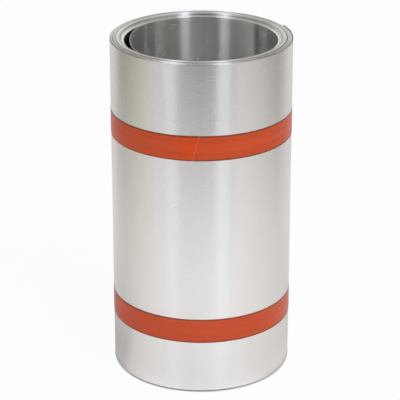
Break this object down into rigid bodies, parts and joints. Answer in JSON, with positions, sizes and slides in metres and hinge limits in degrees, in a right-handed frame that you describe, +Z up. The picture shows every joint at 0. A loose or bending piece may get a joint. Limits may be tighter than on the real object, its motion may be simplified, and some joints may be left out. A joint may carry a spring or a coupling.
{
  "type": "aluminum flashing roll",
  "caption": "Roll of thin mill-finish aluminium sheet wound into a hollow coil standing on its end, held closed by two bands of orange-red tape",
  "frame": {"origin": "middle of the foot of the coil, on its axis and on the floor", "axes": "+Z up along the coil's axis, -Y is the front as it is seen, +X to the right"},
  "size_m": [0.134, 0.1337, 0.2562],
  "materials": {
    "mill_aluminium": "mill finish with fine rolling grain round the coil",
    "film_tape": "smooth orange-red film tape"
  },
  "bodies": {
    "root": {"flashing_coil": "mill_aluminium", "upper_tape_band": "film_tape", "lower_tape_band": "film_tape"}
  },
  "joints": []
}
